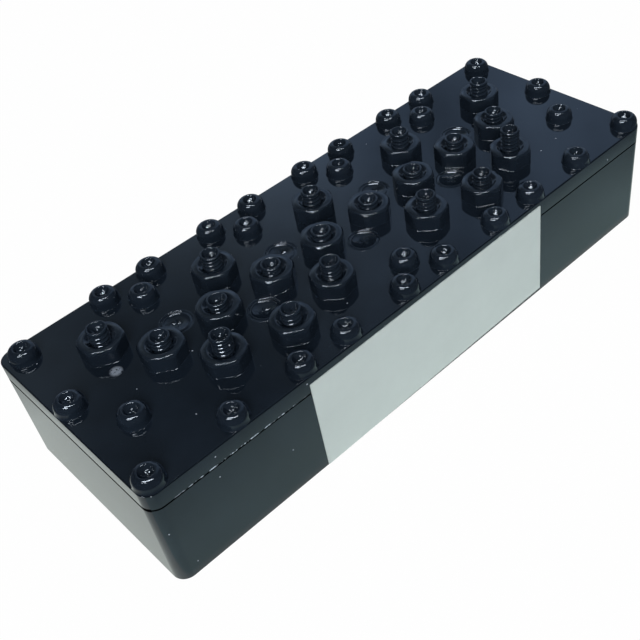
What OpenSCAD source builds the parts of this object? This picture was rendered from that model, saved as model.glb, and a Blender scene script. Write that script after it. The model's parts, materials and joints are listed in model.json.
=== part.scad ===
// Coaxial cavity bandpass filter: nine tuned cavities milled zig-zag into a block,
// under a screwed cover that carries the tuning screws, with a coaxial jack at
// each end cavity. Z is up, and the origin is the middle of the base face.

/* [Housing] */
// Length of the milled block, along X
housing_l = 98.4; // [98:0.2:110]
// Width of the block, along Y
housing_w = 36; // [35.8:0.2:42]
// Height of the block under its cover
body_h = 15.3; // [14.8:0.1:20]
// Radius of the four upright corners
corner_r = 2; // [1:0.1:2.6]
// Chamfer round the base and round the top of the cover
edge_c = 0.2; // [0.1:0.05:0.4]
// Chamfer on both sides of the seam under the cover
seam_c = 0.08; // [0.04:0.02:0.2]

/* [Cavities] */
// Distance between neighbouring cavities of one row
cavity_pitch = 19.1; // [18.8:0.1:19.4]
// Distance of each row of cavities from the middle line
row_y = 7.4; // [7.3:0.1:7.7]
// Diameter of a cavity
cavity_d = 15.6; // [14:0.2:16]
// Thickness of the floor under the cavities
floor_t = 3; // [2.8:0.1:3.6]
// Width of the window between neighbouring cavities
window_w = 7; // [5:0.5:7.5]
// Depth of that window below the cover
window_depth = 7; // [5:0.5:9]
// Width of the window between two cavities of the front row
cross_window_w = 4.6; // [4:0.2:5]
// Depth of that window below the cover
cross_window_depth = 6; // [5:0.5:8]

/* [Resonators] */
// Diameter of a resonator post
resonator_d = 5.5; // [5.2:0.1:6.5]
// Gap between the top of a post and the cover
tune_gap = 2.8; // [2.6:0.1:3.5]
// Diameter of the bore that takes the end of a tuning screw
post_bore_d = 3.8; // [3.6:0.1:4.2]
// Depth of that bore
post_bore_depth = 5; // [4:0.1:5.2]
// Diameter of the foot that is screwed into the floor
foot_d = 3; // [2:0.1:3.5]
// Length of the foot
foot_l = 2; // [1.5:0.1:2.4]

/* [Cover] */
// Thickness of the cover
cover_t = 2.85; // [2.5:0.05:3.5]
// Distance of the edge screws from the side faces
rim_inset = 2.1; // [2.05:0.05:2.3]
// Half the distance between the two edge screws beside a web
web_pair = 4; // [3.8:0.1:4.2]
// Distance of a web's third screw from the edge screws
web_step = 4; // [3.8:0.1:4.2]
// Distance of the last front edge screws from the end cavities' middle
front_last = 3.9; // [3.5:0.1:4.1]
// Distance of the back corner screws from both faces
back_corner = 3; // [2.6:0.1:3.2]
// Distance of the front corner screws from both faces
front_corner = 2.2; // [2.1:0.05:2.6]
// Distance of the end screws from the end faces
end_inset = 2.2; // [2.1:0.05:2.4]
// Distance of the end screws behind the middle line
end_y = 1.8; // [1:0.1:3]
// Distance of the inner front screws outside the end cavities' middle
inner_dx = 4.4; // [4:0.1:5]
// Distance of those screws in front of the middle line
inner_y = 6.2; // [5.5:0.1:6.6]
// Distance of the back countersunk screws from the middle line
sunk_back_y = 4.1; // [3.9:0.1:4.3]
// Distance of the front countersunk screws from the middle line
sunk_front_y = 3.5; // [3.3:0.1:3.7]

/* [Cover screws] */
// Diameter of a pan head, over its paint
pan_d = 4.4; // [4:0.05:4.4]
// Height of a pan head, over its paint
pan_h = 1.85; // [1.4:0.05:2]
// Height at which the side of a pan head turns into its dome
pan_side = 0.6; // [0.5:0.05:1.1]
// Diameter of a countersunk head
sunk_d = 3.8; // [3.4:0.1:4]
// Diameter of the countersink at the top of the cover
sink_d = 5; // [4.8:0.1:5.2]
// Thread diameter of the cover and flange screws
screw_d = 2; // [1.8:0.1:2.2]
// Length of a cover screw in the block
screw_grip = 3.2; // [2.6:0.1:4]
// Play round the screws in the cover and in the flanges
clear_play = 0.1; // [0.05:0.05:0.15]
// Width of the cross recess in a pan head
recess_w = 1.9; // [1.5:0.1:2.1]
// Depth of the cross recess in a pan head
recess_depth = 0.8; // [0.4:0.05:0.9]

/* [Tuning screws] */
// Thread diameter of the tuning screws
stud_d = 3; // [2.8:0.1:3.2]
// Length of the tuning screws
stud_l = 10; // [9.5:0.1:11]
// Play round the tuning screws in the cover and in the nuts
stud_play = 0.05; // [0.02:0.01:0.1]
// Chamfer on both ends of a tuning screw
stud_c = 0.25; // [0.1:0.05:0.4]
// Width of the cross recess in a tuning screw
stud_recess_w = 1.6; // [1.2:0.1:1.8]
// Distance of the cross-coupling screws in front of the middle line
cross_y = 9.9; // [9.7:0.1:10.1]

/* [Lock nuts] */
// Width of a nut across its flats, over its paint
nut_af = 6.15; // [5.7:0.05:6.3]
// Height of a nut
nut_h = 2.5; // [1.8:0.1:2.8]
// Diameter of the flat on top of a nut
nut_face_d = 5.3; // [4.8:0.1:5.5]
// Chamfer round the thread on top of a nut
nut_thread_c = 0.5; // [0.2:0.05:0.6]

/* [Jacks] */
// Height of the jacks' axis above the base
jack_z = 6.4; // [6:0.1:7.2]
// Length of the two-hole flange, along X
flange_l = 15.9; // [15.6:0.1:17]
// Height of the flange
flange_w = 5.7; // [5.5:0.1:7]
// Thickness of the flange
flange_t = 1.6; // [1.2:0.1:2]
// Radius of the flange's corners
flange_r = 1; // [0.5:0.1:1.5]
// Distance between the two flange screws
flange_pitch = 12.22; // [12:0.02:12.4]
// Length of a flange screw in the block
flange_grip = 3.5; // [2.5:0.1:4]
// Diameter of a flange screw's head, without paint
flange_head_d = 3.9; // [3.7:0.1:4.2]
// Outer diameter of the jack's thread
jack_thread_d = 6.35; // [6:0.05:6.5]
// Length of the jack's thread
jack_thread_l = 6; // [5.5:0.1:8]
// Diameter of the neck behind the thread
jack_neck_d = 5.3; // [5.2:0.1:6]
// Length of the neck behind the thread
jack_neck_l = 1.9; // [0.8:0.1:3]
// Chamfer at the front of the thread
jack_c = 0.4; // [0.2:0.05:0.5]
// Diameter of the mouth of the jack
jack_mouth_d = 4.6; // [4.4:0.05:4.8]
// Depth of the mouth in front of the insulator
jack_mouth_depth = 1.9; // [1.5:0.1:2.2]
// Diameter of the insulator
insulator_d = 4.1; // [3.6:0.1:4.2]
// Diameter of the centre contact
contact_d = 1.27; // [1.2:0.01:1.5]
// Bore of the centre contact's socket
contact_bore_d = 0.94; // [0.9:0.01:1]
// Depth of the socket
contact_bore_depth = 2.6; // [2:0.1:3]
// Length of the centre contact inside the end resonator
contact_seat = 0.8; // [0.5:0.1:1]

/* [Mounting holes] */
// Distance between the threaded holes under the base, along X
mount_pitch_x = 91.2; // [90.8:0.2:91.6]
// Distance between the threaded holes under the base, along Y
mount_pitch_y = 28; // [27.8:0.2:28.4]
// Diameter of those holes
mount_d = 2.5; // [2:0.1:2.6]
// Depth of those holes
mount_depth = 5; // [3:0.5:6]

/* [Label] */
// Length of the label on the front
label_l = 47; // [30:1:60]
// Height of the label
label_h = 17.7; // [12:0.1:17.7]
// Thickness of the label
label_t = 0.15; // [0.1:0.05:0.3]
// Place of the label's middle along X
label_x = -1.1; // [-5:0.1:5]

/* [Hidden] */
$fn = 64;
cavities = 9;
fit_gap = 0.02;
recess_arm = 0.5;
socket_slot = 0.14;
eps = 0.01;

housing_x = housing_l / 2;
housing_y = housing_w / 2;
cover_top = body_h + cover_t;
post_h = body_h - floor_t - tune_gap;
rim_y = housing_y - rim_inset;
end_x = cavity_x(cavities - 1);
jack_end_y = housing_y + flange_t + jack_neck_l + jack_thread_l;

// How far each screw's end stands above the cover, and the turn of its lock nut,
// as left by tuning: first the resonators, then the windows, then the two
// cross couplings, each from left to right
resonator_set = [[4.15, 30], [4.9, 21], [4.35, 27], [4.5, 13], [4.1, 56], [4.4, 13], [4.45, 13], [5.5, 48], [4.35, 22]];
window_set = [[3.65, 22], [3.3, 23], [3.2, 45], [3.2, 44], [3.05, 41], [3.15, 58], [3.6, 10], [3.7, 59]];
cross_set = [[4, 26], [3.95, 31]];

function cavity_x(i) = (i - (cavities - 1) / 2) * cavity_pitch / 2;
function cavity_y(i) = i % 2 == 0 ? row_y : -row_y;
cavity_xy = [for (i = [0:cavities - 1]) [cavity_x(i), cavity_y(i)]];
window_xy = [for (i = [0:cavities - 2]) (cavity_xy[i] + cavity_xy[i + 1]) / 2];
cross_xy = [for (s = [-1, 1]) [s * cavity_pitch, -cross_y]];
trimmer_xy = concat(cavity_xy, window_xy, cross_xy);
trimmer_set = concat(resonator_set, window_set, cross_set);

// Webs at the back stand behind the front cavities, and webs at the front stand
// before the back ones
back_webs = [for (i = [1:2:cavities - 2]) cavity_x(i)];
front_webs = [for (i = [2:2:cavities - 3]) cavity_x(i)];
pan_xy = concat(
    [for (x = back_webs, s = [-1, 1]) [x + s * web_pair, rim_y]],
    [for (x = back_webs) [x, rim_y - web_step]],
    [for (x = front_webs, s = [-1, 1]) [x + s * web_pair, -rim_y]],
    [[0, web_step - rim_y]],
    [for (s = [-1, 1]) [s * (end_x - front_last), -rim_y]],
    [for (s = [-1, 1]) [s * (housing_x - back_corner), housing_y - back_corner]],
    [for (s = [-1, 1]) [s * (housing_x - front_corner), front_corner - housing_y]],
    [for (s = [-1, 1]) [s * (housing_x - end_inset), end_y]],
    [for (s = [-1, 1]) [s * (end_x + inner_dx), -inner_y]]
);
sunk_xy = concat([for (x = back_webs) [x, sunk_back_y]], [for (x = front_webs) [x, -sunk_front_y]]);

trimmers = len(trimmer_xy);
ports = ["input", "output"];

// A slab with round upright corners and a chamfer round its base and its top
module slab(l, w, h, r, base_c, top_c) {
    module edge(half) {
        polygon([[base_c - half, 0], [half - base_c, 0], [half, base_c], [half, h - top_c],
            [half - top_c, h], [top_c - half, h], [-half, h - top_c], [-half, base_c]]);
    }
    translate([-(l / 2 - r), 0, 0]) rotate([90, 0, 90]) linear_extrude(l - 2 * r) edge(w / 2);
    translate([0, w / 2 - r, 0]) rotate([90, 0, 0]) linear_extrude(w - 2 * r) edge(l / 2);
    for (sx = [-1, 1], sy = [-1, 1])
        translate([sx * (l / 2 - r), sy * (w / 2 - r), 0])
            rotate_extrude()
                polygon([[0, 0], [r - base_c, 0], [r, base_c], [r, h - top_c], [r - top_c, h], [0, h]]);
}

// Puts its children at each place of a list
module at(places) {
    for (p = places) translate([p[0], p[1], 0]) children();
}

// Puts its children at a jack: X along the flange, Z out of the back face
module at_jack(side) {
    translate([side * end_x, housing_y, jack_z]) rotate([-90, 0, 0]) children();
}

module cross_recess(w, depth) {
    for (a = [0, 90])
        rotate([0, 0, a]) translate([-w / 2, -recess_arm / 2, -depth]) cube([w, recess_arm, depth + eps]);
}

module window_cuts() {
    for (i = [0:cavities - 2]) {
        step = cavity_xy[i + 1] - cavity_xy[i];
        translate([window_xy[i][0], window_xy[i][1], body_h - window_depth])
            rotate([0, 0, atan2(step[1], step[0])])
                translate([-norm(step) / 2, -window_w / 2, 0])
                    cube([norm(step), window_w, window_depth + eps]);
    }
    at(cross_xy)
        translate([-cavity_pitch / 2, -cross_window_w / 2, body_h - cross_window_depth])
            cube([cavity_pitch, cross_window_w, cross_window_depth + eps]);
}

module jack_cuts() {
    for (side = [-1, 1]) {
        at_jack(side) {
            translate([0, 0, row_y - housing_y])
                cylinder(h = housing_y - row_y + eps, d = insulator_d + 2 * fit_gap);
            for (s = [-1, 1])
                translate([s * flange_pitch / 2, 0, -flange_grip - eps])
                    cylinder(h = flange_grip + 2 * eps, d = screw_d + 2 * fit_gap);
        }
    }
}

// The block: cavities, windows and threaded holes milled from one piece
module housing() {
    color("dimgray") difference() {
        slab(housing_l, housing_w, body_h, corner_r, edge_c, seam_c);
        at(cavity_xy) translate([0, 0, floor_t]) cylinder(h = body_h, d = cavity_d);
        at(cavity_xy) translate([0, 0, floor_t - foot_l]) cylinder(h = foot_l + eps, d = foot_d + 2 * fit_gap);
        window_cuts();
        at(concat(pan_xy, sunk_xy))
            translate([0, 0, body_h - screw_grip - eps])
                cylinder(h = screw_grip + 2 * eps, d = screw_d + 2 * fit_gap);
        for (sx = [-1, 1], sy = [-1, 1])
            translate([sx * mount_pitch_x / 2, sy * mount_pitch_y / 2, -eps])
                cylinder(h = mount_depth + eps, d = mount_d);
        jack_cuts();
    }
}

// The plate that closes the cavities and carries all the tuning screws
module cover() {
    sink_depth = (sink_d - screw_d) / 2 - clear_play;
    color([0.1, 0.11, 0.13]) translate([0, 0, body_h]) difference() {
        slab(housing_l, housing_w, cover_t, corner_r, seam_c, edge_c);
        at(trimmer_xy) translate([0, 0, -eps]) cylinder(h = cover_t + 2 * eps, d = stud_d + 2 * stud_play);
        at(concat(pan_xy, sunk_xy))
            translate([0, 0, -eps]) cylinder(h = cover_t + 2 * eps, d = screw_d + 2 * clear_play);
        at(sunk_xy)
            translate([0, 0, cover_t - sink_depth])
                cylinder(h = sink_depth + eps, d1 = sink_d - 2 * sink_depth, d2 = sink_d + 2 * eps);
    }
}

// A silver-plated post, bored for its tuning screw and screwed into the floor;
// the end posts have a side hole for the jack's contact
module resonator(i) {
    x = cavity_xy[i - 1][0];
    y = cavity_xy[i - 1][1];
    color("silver") translate([x, y, floor_t]) difference() {
        union() {
            cylinder(h = post_h, d = resonator_d);
            translate([0, 0, -foot_l]) cylinder(h = foot_l + eps, d = foot_d);
        }
        translate([0, 0, post_h - post_bore_depth]) cylinder(h = post_bore_depth + eps, d = post_bore_d);
        if (i == 1 || i == cavities)
            translate([0, resonator_d / 2 - contact_seat, jack_z - floor_t])
                rotate([-90, 0, 0]) cylinder(h = resonator_d, d = contact_d + 2 * fit_gap);
    }
}

// A headless screw with chamfered ends and a cross recess, at its tuned height
module trimmer(k) {
    x = trimmer_xy[k - 1][0];
    y = trimmer_xy[k - 1][1];
    r = stud_d / 2;
    color([0.13, 0.14, 0.16])
        translate([x, y, cover_top + trimmer_set[k - 1][0]]) difference() {
            rotate_extrude() polygon([[0, -stud_l], [r - stud_c, -stud_l], [r, stud_c - stud_l],
                [r, -stud_c], [r - stud_c, 0], [0, 0]]);
            cross_recess(stud_recess_w, recess_depth);
        }
}

// A hexagon nut with its upper corners turned off, seated on the cover
module lock_nut(k) {
    face_r = nut_face_d / 2;
    corner_reach = nut_af / sqrt(3) + 1;
    thread_r = stud_d / 2 + stud_play;
    color([0.15, 0.16, 0.18])
        translate([trimmer_xy[k - 1][0], trimmer_xy[k - 1][1], cover_top])
            rotate([0, 0, trimmer_set[k - 1][1]]) difference() {
                intersection() {
                    cylinder(h = nut_h, d = nut_af / cos(30), $fn = 6);
                    rotate_extrude() polygon([[0, 0], [corner_reach, 0],
                        [corner_reach, nut_h - (corner_reach - face_r) * tan(30)], [face_r, nut_h], [0, nut_h]]);
                }
                translate([0, 0, -eps]) cylinder(h = nut_h + 2 * eps, r = thread_r);
                translate([0, 0, nut_h - nut_thread_c])
                    cylinder(h = nut_thread_c + eps, r1 = thread_r, r2 = thread_r + nut_thread_c + eps);
            }
}

// A pan head screw, seated at z = 0 with its shank below
module pan_screw(head_d, shank_l) {
    // The dome is a ball through the top of the side and the top of the head
    rise = pan_h - pan_side;
    ball_r = (pow(head_d / 2, 2) + rise * rise) / (2 * rise);
    difference() {
        union() {
            intersection() {
                cylinder(h = pan_h, d = head_d);
                translate([0, 0, pan_h - ball_r]) sphere(r = ball_r);
            }
            translate([0, 0, -shank_l]) cylinder(h = shank_l + eps, d = screw_d);
        }
        translate([0, 0, pan_h]) cross_recess(recess_w, recess_depth);
    }
}

module pan_head_screws() {
    color([0.12, 0.13, 0.15]) at(pan_xy) translate([0, 0, cover_top]) pan_screw(pan_d, cover_t + screw_grip);
}

// Countersunk screws, each sunk to where its head fills the cone
module countersunk_screws() {
    sunk_by = (sink_d - sunk_d) / 2;
    head_h = (sunk_d - screw_d) / 2;
    color([0.12, 0.13, 0.15]) at(sunk_xy) translate([0, 0, cover_top - sunk_by]) difference() {
        union() {
            translate([0, 0, -head_h]) cylinder(h = head_h, d1 = screw_d, d2 = sunk_d);
            translate([0, 0, sunk_by - cover_t - screw_grip])
                cylinder(h = cover_t + screw_grip - sunk_by - head_h + eps, d = screw_d);
        }
        cross_recess(recess_w, recess_depth);
    }
}

// A jack's outer conductor: two-hole flange, neck and threaded barrel in one
module jack_shell(side) {
    neck_r = jack_neck_d / 2;
    thread_r = jack_thread_d / 2;
    neck_end = flange_t + jack_neck_l;
    barrel_end = neck_end + jack_thread_l;
    color("lightgray") at_jack(side) difference() {
        union() {
            slab(flange_l, flange_w, flange_t, flange_r, 0, edge_c);
            rotate_extrude() polygon([[0, 0], [neck_r, 0], [neck_r, neck_end], [thread_r, neck_end],
                [thread_r, barrel_end - jack_c], [thread_r - jack_c, barrel_end], [0, barrel_end]]);
        }
        translate([0, 0, -eps]) cylinder(h = barrel_end + 2 * eps, d = insulator_d + 2 * fit_gap);
        translate([0, 0, barrel_end - jack_mouth_depth])
            cylinder(h = jack_mouth_depth + eps, d = jack_mouth_d);
        for (s = [-1, 1])
            translate([s * flange_pitch / 2, 0, -eps])
                cylinder(h = flange_t + 2 * eps, d = screw_d + 2 * clear_play);
    }
}

// The insulator runs from the jack's mouth through the wall to the cavity
module insulator(side) {
    mouth_y = jack_end_y - jack_mouth_depth;
    inner_y0 = row_y + sqrt(pow(cavity_d / 2, 2) - pow(insulator_d / 2, 2));
    color("white") translate([side * end_x, inner_y0, jack_z]) rotate([-90, 0, 0]) difference() {
        cylinder(h = mouth_y - inner_y0, d = insulator_d);
        translate([0, 0, -eps]) cylinder(h = mouth_y - inner_y0 + 2 * eps, d = contact_d + 2 * fit_gap);
    }
}

// The centre contact: slotted socket in front, and a long tail into the end post
module contact(side) {
    tail_y = row_y + resonator_d / 2 - contact_seat;
    length = jack_end_y - jack_mouth_depth - tail_y;
    color("gold") translate([side * end_x, tail_y, jack_z]) rotate([-90, 0, 0]) difference() {
        cylinder(h = length, d = contact_d);
        translate([0, 0, length - contact_bore_depth])
            cylinder(h = contact_bore_depth + eps, d = contact_bore_d);
        for (a = [0, 90])
            rotate([0, 0, a])
                translate([-contact_d, -socket_slot / 2, length - contact_bore_depth])
                    cube([2 * contact_d, socket_slot, contact_bore_depth + eps]);
    }
}

module flange_screws() {
    color("silver")
        for (side = [-1, 1])
            at_jack(side)
                for (s = [-1, 1])
                    translate([s * flange_pitch / 2, 0, flange_t])
                        pan_screw(flange_head_d, flange_t + flange_grip);
}

// A bare label, laid over the seam on the front face
module label() {
    color([0.71, 0.76, 0.74])
        translate([label_x - label_l / 2, -housing_y - label_t, (cover_top - label_h) / 2])
            cube([label_l, label_t, label_h]);
}

housing();
cover();
for (i = [1:cavities])
    resonator(i);
for (i = [1:cavities])
    trimmer(i);
for (i = [1:cavities - 1])
    trimmer(cavities + i);
for (i = [1:2])
    trimmer(2 * cavities - 1 + i);
for (i = [1:trimmers])
    lock_nut(i);
pan_head_screws();
countersunk_screws();
for (p = [0, 1]) {
    side = 2 * p - 1;
    jack_shell(side);
    insulator(side);
    contact(side);
}
flange_screws();
label();
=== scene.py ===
"""Looks of a black-painted coaxial cavity filter: paint, fasteners with their threads and recesses,
jacks, bare label, and the stage."""

import json
import math
import random

import bmesh
import bpy
from bpy.props import FloatProperty, FloatVectorProperty, IntProperty, PointerProperty
from mathutils import Matrix, Vector


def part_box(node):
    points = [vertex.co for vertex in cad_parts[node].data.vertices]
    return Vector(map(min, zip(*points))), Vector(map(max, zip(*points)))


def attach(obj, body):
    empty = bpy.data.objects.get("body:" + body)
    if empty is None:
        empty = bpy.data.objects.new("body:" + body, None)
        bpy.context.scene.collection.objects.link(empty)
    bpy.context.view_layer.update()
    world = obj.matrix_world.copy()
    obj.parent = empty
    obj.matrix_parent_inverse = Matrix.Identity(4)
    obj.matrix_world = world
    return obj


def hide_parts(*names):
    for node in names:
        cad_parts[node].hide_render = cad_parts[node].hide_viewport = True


bl_info = {
    "name": "Coaxial cavity filter",
    "version": (1, 0, 0),
    "blender": (4, 5, 0),
    "location": "3D View > Sidebar > Filter",
    "description": "Dresses a packed cavity filter with painted and plated parts and sets its stage",
    "category": "Object",
}

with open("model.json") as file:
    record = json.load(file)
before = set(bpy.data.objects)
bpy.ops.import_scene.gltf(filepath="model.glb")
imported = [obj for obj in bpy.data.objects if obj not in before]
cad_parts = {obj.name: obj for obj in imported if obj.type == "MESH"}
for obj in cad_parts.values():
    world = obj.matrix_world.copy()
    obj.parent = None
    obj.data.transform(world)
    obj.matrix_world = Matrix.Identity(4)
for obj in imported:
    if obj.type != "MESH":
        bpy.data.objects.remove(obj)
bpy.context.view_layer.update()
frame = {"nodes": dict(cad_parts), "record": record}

MM = 0.001
UP = Vector((0, 0, 1))
QUARTER_TURN = math.pi / 2

NODE_BODY = {node: body for body, nodes in frame["record"]["behaviour"]["bodies"].items() for node in nodes}
TRIMMERS = sorted(n for n in frame["nodes"] if n.endswith(tuple("123456789")) and "_screw_" in n)
NUTS = sorted(n for n in frame["nodes"] if n.startswith("lock_nut_"))
PORTS = ("input", "output")


def node_box(node):
    """Lowest and highest corner of a CAD node, in millimetres."""
    low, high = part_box(node)
    return low / MM, high / MM


COVER_LOW, COVER_HIGH = node_box("cover")
HALF_L = COVER_HIGH.x
HALF_W = COVER_HIGH.y
SEAM_Z = COVER_LOW.z
COVER_TOP = COVER_HIGH.z

# Painted nut, in millimetres: radius of its dish at the top, and slope of the ring round the dish
DISH_R = 2.18
RING_SLOPE = 0.14

# One turn of a painted thread, from crest to crest: (share of its depth, share of its pitch)
THREAD_SHAPE = (
    (1, 0), (1, 0.14), (0.96, 0.22), (0.8, 0.287), (0.64, 0.342), (0.48, 0.393), (0.32, 0.44),
    (0.16, 0.484), (0, 0.54), (0, 0.68), (0.3, 0.86), (0.85, 0.95), (1, 1),
)

# Dust on the paint, in millimetres: size of the cells that hold one speck each, and a speck's radius
DUST_CELL = 2.2
DUST_RADIUS = 0.14
# Colours of the marks on the paint, of which the seam gap's near-black is painted shade, and the place of the
# scuff on the cover
DUST_COLOUR = (0.55, 0.6, 0.68)
SEAM_SHADE_COLOUR = (0.001, 0.0012, 0.0015)
CHIP_COLOUR = (0.72, 0.8, 0.92)
SCUFF_COLOUR = (0.3, 0.34, 0.4)
SCUFF_PLACE = (-39.5, 2.7, COVER_TOP)
# Specular level of the paint outside the gap at the seam, whose painted shade also takes away most of its
# reflection
PAINT_GLOSS = 0.5

# Level direction that the camera looks along
BEHIND = (0.638, 0.77)
# Ceiling lamps: the way their length runs, in degrees, and their height in metres; then for each lamp its
# lean from overhead towards the camera's side, and where it starts and ends along its length, in degrees
LAMP_AZIMUTH = -51
LAMP_HEIGHT = 1.2
LAMPS = (
    (4.4, -22, 13.5),
    (4.9, 16.5, 21),
    (33, -30, 0),
)
LAMP_COLOUR = (0.78, 0.88, 1.0)
# Paler and darker patches behind the object: azimuth, elevation and radius in degrees, and gain
SKY_PATCHES = (
    (57, 36, 11, 1.3),
    (37, 33, 12, 0.2),
    (79, 38, 9, 0.6),
    (62, 44, 12, -0.7),
    (74, 46, 14, -0.5),
    (47, 38, 9, -0.4),
)
# Colour of the floor in front of the block, as the paint mirrors it
FRONT_TINT = (0.43, 0.67, 0.65)


# Settings that a user may change


class FilterPaint(bpy.types.PropertyGroup):
    colour: FloatVectorProperty(
        name="Colour", description="Colour of the black paint", subtype="COLOR", size=3, min=0, max=1,
        default=(0.0085, 0.0132, 0.0205),
    )
    roughness: FloatProperty(
        name="Roughness", description="Roughness of the cured paint", default=0.05, min=0, max=1,
        subtype="FACTOR",
    )
    waviness: FloatProperty(
        name="Waviness", description="Height of the slow waves in the paint, in thousandths of a millimetre",
        default=1.6, min=0, max=20,
    )
    dust: FloatProperty(
        name="Dust", description=f"Share of the cells of a {DUST_CELL} mm grid that hold a speck of dust",
        default=0.2, min=0, max=1, subtype="FACTOR",
    )


class FilterScrews(bpy.types.PropertyGroup):
    pitch: FloatProperty(
        name="Tuning screw pitch", description="Distance between two threads of a tuning screw",
        default=0.64 * MM, min=0.3 * MM, max=1 * MM, unit="LENGTH", precision=5,
    )
    thread_depth: FloatProperty(
        name="Thread depth", description="Depth of the threads under their paint", default=0.26 * MM,
        min=0, max=0.4 * MM, unit="LENGTH", precision=5,
    )
    recess_half: FloatProperty(
        name="Recess reach", description="Half the width of a pan head's cross recess", default=0.8 * MM,
        min=0.3 * MM, max=1.2 * MM, unit="LENGTH", precision=5,
    )
    recess_depth: FloatProperty(
        name="Recess depth", description="Depth of the arms of that recess under their paint",
        default=0.07 * MM, min=0, max=1 * MM, unit="LENGTH", precision=5,
    )
    steps: IntProperty(name="Steps", description="Steps of a round piece", default=48, min=12, max=96)
    seed: IntProperty(name="Seed", description="Seed for the turns of the recesses", default=4, min=0)


class FilterJacks(bpy.types.PropertyGroup):
    pitch: FloatProperty(
        name="Jack pitch", description="Distance between two threads of a jack", default=0.706 * MM,
        min=0.5 * MM, max=1 * MM, unit="LENGTH", precision=6,
    )
    metal: FloatVectorProperty(
        name="Metal", description="Colour of the jacks' steel", subtype="COLOR", size=3, min=0, max=1,
        default=(0.56, 0.55, 0.53),
    )


class FilterLabel(bpy.types.PropertyGroup):
    colour: FloatVectorProperty(
        name="Film", description="Colour of the bare label", subtype="COLOR", size=3, min=0, max=1,
        default=(0.64, 0.715, 0.69),
    )
    height: FloatProperty(
        name="Height", description="Height of the film", default=0.01655, min=0.005, unit="LENGTH",
    )
    middle: FloatProperty(
        name="Middle", description="Height of the film's middle above the base", default=0.00884, min=0,
        unit="LENGTH",
    )
    aside: FloatProperty(
        name="Aside", description="How far it was laid off its place along the block", default=0.0007,
        unit="LENGTH",
    )
    lean: FloatProperty(
        name="Lean", description="How far it was laid out of level", default=math.radians(0.7),
        subtype="ANGLE",
    )


class FilterStage(bpy.types.PropertyGroup):
    floor: FloatVectorProperty(
        name="Floor", description="Colour of the floor", subtype="COLOR", size=3, min=0, max=1,
        default=(0.85, 0.87, 0.86),
    )
    sky: FloatVectorProperty(
        name="Surroundings behind", description="Colour of the soft surroundings behind the object",
        subtype="COLOR", size=3, min=0, max=2, default=(0.25, 0.355, 0.53),
    )
    warm_sky: FloatVectorProperty(
        name="Surroundings on the left", description="Colour of the surroundings behind and to the left",
        subtype="COLOR", size=3, min=0, max=2, default=(0.22, 0.27, 0.3),
    )
    dark_sky: FloatVectorProperty(
        name="Surroundings in front", subtype="COLOR", size=3, min=0, max=2, default=(0.05, 0.06, 0.075),
        description="Colour of the surroundings on the camera's side and overhead",
    )
    horizon: FloatVectorProperty(
        name="Horizon", description="Colour of the bright band low behind the object", subtype="COLOR",
        size=3, min=0, max=5, default=(0.4, 0.48, 0.6),
    )
    seen: FloatProperty(
        name="White to the camera", description="Share of pure white in the floor that the camera sees",
        default=0.985, min=0, max=1, subtype="FACTOR",
    )
    mirrored: FloatProperty(
        name="White in reflections", default=0.64, min=0, max=1, subtype="FACTOR",
        description="Share of pure white in the floor that paint and metal mirror",
    )
    tint: FloatVectorProperty(
        name="Tint in reflections", description="Colour of the floor in paint and metal", subtype="COLOR",
        size=3, min=0, max=1, default=(0.89, 0.98, 0.92),
    )
    sheet: FloatProperty(
        name="White sheet", description="How far the white floor reaches beyond the object in reflections",
        default=0.04, min=0, unit="LENGTH",
    )
    lamp_power: FloatProperty(
        name="Lamps", description="Power of a metre of ceiling lamp", default=17.0, min=0, unit="POWER",
    )
    lamp_width: FloatProperty(
        name="Lamp width", description="Width of a ceiling lamp", default=0.05, min=0.01, unit="LENGTH",
    )
    fill_power: FloatProperty(
        name="Fill", description="Power of the soft fill light", default=36.0, min=0, unit="POWER",
    )
    lens: FloatProperty(
        name="Lens", description="Focal length of the camera in millimetres", default=53.9, min=10,
    )


# Modelling by hand, in millimetres


def take(obj):
    """Leaves obj as the only selected and active object."""
    bpy.ops.object.select_all(action="DESELECT")
    obj.select_set(True)
    bpy.context.view_layer.objects.active = obj


def open_edit(obj, mode="VERT"):
    """Opens obj in edit mode, to select its vertices, edges or faces."""
    take(obj)
    bpy.ops.object.mode_set(mode="EDIT")
    bpy.ops.mesh.select_mode(type=mode)


def close_edit():
    bpy.ops.object.mode_set(mode="OBJECT")


def choose(obj, test, kind="verts"):
    """In edit mode, selects what passes the test, and nothing else. Returns how many it found."""
    bpy.ops.mesh.select_all(action="DESELECT")
    mesh = bmesh.from_edit_mesh(obj.data)
    found = [x for x in getattr(mesh, kind) if test(x)]
    for x in found:
        x.select_set(True)
    if kind == "verts":
        mesh.select_flush_mode()
    bmesh.update_edit_mesh(obj.data)
    return len(found)


def round_edges(obj, test, width, segments, missing):
    """Bevels the edges that pass the test. If none does, its error says what is missing."""
    open_edit(obj, "EDGE")
    if not choose(obj, test, "edges"):
        raise RuntimeError(missing)
    bpy.ops.mesh.bevel(offset=width, segments=segments, affect="EDGES")
    close_edit()


def edge_run(edge):
    """The way from one end of an edge to the other."""
    return edge.verts[0].co - edge.verts[1].co


def tidy_up(obj, flat=0.0):
    """Merges doubles and turns all faces outwards. With flat, coplanar faces are joined first."""
    open_edit(obj)
    bpy.ops.mesh.select_all(action="SELECT")
    bpy.ops.mesh.remove_doubles(threshold=1e-4)
    if flat:
        bpy.ops.mesh.dissolve_limited(angle_limit=flat)
    bpy.ops.mesh.normals_make_consistent(inside=False)
    close_edit()


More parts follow.
